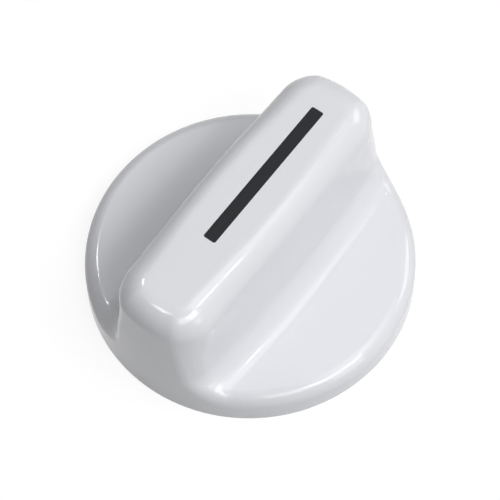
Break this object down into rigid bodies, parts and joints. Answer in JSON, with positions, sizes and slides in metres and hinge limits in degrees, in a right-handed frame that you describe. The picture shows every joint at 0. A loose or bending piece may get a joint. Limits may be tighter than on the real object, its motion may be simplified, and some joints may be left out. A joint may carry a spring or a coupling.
{
  "type": "dryer timer knob",
  "caption": "White glossy push-on knob for a tumble dryer's timer: round base, full-width grip bar, black pointer line, D-shaped shaft socket",
  "frame": {"origin": "middle of the rim that faces the dryer's panel, on the shaft's axis", "axes": "+Z away from the panel along the shaft's axis, +Y along the grip bar towards the pointer end, +X across the bar"},
  "size_m": [0.064, 0.064, 0.0288],
  "materials": {
    "white_plastic": "glossy moulded white, faintly cool",
    "black_line": "matte black, slightly grainy",
    "ring_steel": "bright rolled spring steel"
  },
  "bodies": {
    "root": {"knob_body": "white_plastic", "indicator_line": "black_line", "hub_ring": "ring_steel"}
  },
  "joints": []
}
